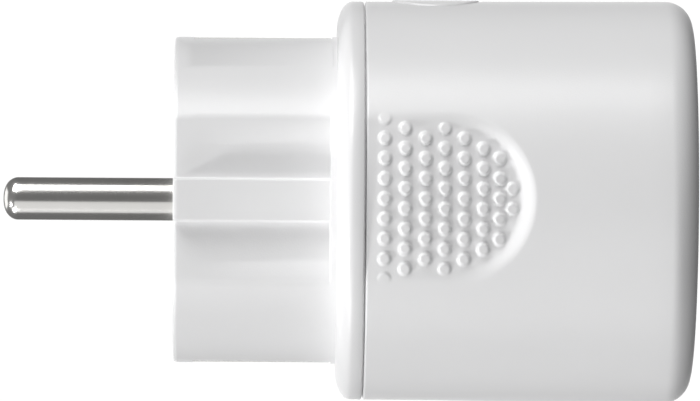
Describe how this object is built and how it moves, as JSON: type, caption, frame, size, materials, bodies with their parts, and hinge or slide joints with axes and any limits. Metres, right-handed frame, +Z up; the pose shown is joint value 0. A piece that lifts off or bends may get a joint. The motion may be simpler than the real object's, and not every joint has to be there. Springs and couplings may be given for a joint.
{
  "type": "plug in power meter",
  "caption": "Round plug-through power meter with a hybrid CEE 7/7 plug, a shuttered Schuko socket, dotted thumb grips and a push button.",
  "frame": {"origin": "on the plug's axis in the flange's rear face, which closes onto the wall socket's rim", "axes": "+X along the axis from the pins to the socket, +Z up through the button, pins at +Y and -Y"},
  "size_m": [0.0773, 0.0452, 0.0452],
  "materials": {
    "housing_white": "satin, fine spark-eroded grain",
    "insert_white": "satin",
    "pin_nickel": "nickel plated, polished",
    "earth_metal": "nickel plated strip",
    "screw_steel": "zinc plated",
    "contact_brass": "bare rolled strip",
    "board_green": "solder resist",
    "black_plastic": "moulded",
    "relay_blue": "moulded",
    "coil_copper": "enamelled winding",
    "varistor_blue": "dipped coating",
    "capacitor_yellow": "moulded box",
    "fuse_ceramic": "ceramic tube with metal caps",
    "led_clear": "clear resin"
  },
  "bodies": {
    "root": {"rear_housing": "housing_white", "front_housing": "housing_white", "socket_well": "insert_white", "housing_screw": "screw_steel", "pin_live": "pin_nickel", "pin_neutral": "pin_nickel", "pin_rivets": "contact_brass", "busbar_live": "contact_brass", "busbar_neutral": "contact_brass", "earth_yoke": "earth_metal", "earth_tube": "earth_metal", "earth_strap": "earth_metal", "earth_bracket": "earth_metal", "contact_live": "contact_brass", "contact_neutral": "contact_brass", "contact_carrier": "black_plastic", "shutter_spring": "screw_steel", "power_board": "board_green", "shunt_resistor": "coil_copper", "fuse": "fuse_ceramic", "varistor": "varistor_blue", "film_capacitor": "capacitor_yellow", "filter_capacitors": "black_plastic", "inductor": "black_plastic", "bridge_rectifier": "black_plastic", "supply_chip": "black_plastic", "metering_chip": "black_plastic", "relay_case": "relay_blue", "relay_base": "black_plastic", "relay_coil": "coil_copper", "relay_frame": "screw_steel", "board_headers": "black_plastic", "control_board": "board_green", "radio_module": "board_green", "shield_can": "screw_steel", "status_led": "led_clear", "push_switch": "black_plastic", "snap_dome": "screw_steel"},
    "button": {"button_cap": "housing_white"},
    "plunger": {"switch_plunger": "insert_white"},
    "shutter": {"shutter": "insert_white"},
    "clip_top": {"earth_clip_top": "earth_metal"},
    "clip_bottom": {"earth_clip_bottom": "earth_metal"},
    "armature": {"relay_armature": "screw_steel"}
  },
  "joints": [
    {"name": "button_press", "type": "slide", "parent": "root", "child": "button", "axis": [0, 0, -1], "range_m": [0, 0.00035], "stiffness_N_per_m": 400, "springref_m": -0.001},
    {"name": "plunger_press", "type": "slide", "parent": "root", "child": "plunger", "axis": [0, 0, -1], "range_m": [0, 0.00035], "deforming": ["snap_dome"]},
    {"name": "shutter_turn", "type": "hinge", "parent": "root", "child": "shutter", "pos_m": [0.0193, 0, 0], "axis": [-1, 0, 0], "range_deg": [0, 40], "stiffness_Nm_per_rad": 0.002, "springref_deg": -22.92, "deforming": ["shutter_spring"]},
    {"name": "clip_top_flex", "type": "hinge", "parent": "root", "child": "clip_top", "pos_m": [0.0183, 0, 0.0178], "axis": [0, -1, 0], "range_deg": [0, 5.5], "stiffness_Nm_per_rad": 0.05, "springref_deg": -5.73},
    {"name": "clip_bottom_flex", "type": "hinge", "parent": "root", "child": "clip_bottom", "pos_m": [0.0183, 0, -0.0178], "axis": [0, 1, 0], "range_deg": [0, 5.5], "stiffness_Nm_per_rad": 0.05, "springref_deg": -5.73},
    {"name": "armature_tilt", "type": "hinge", "parent": "root", "child": "armature", "pos_m": [-0.01295, 0.0035, 0.0084], "axis": [0, 0, 1], "range_deg": [0, 2.5], "stiffness_Nm_per_rad": 0.005, "springref_deg": -5.73}
  ],
  "couplings": [
    {"joint": "plunger_press", "follows": "button_press", "ratio": 1}
  ]
}
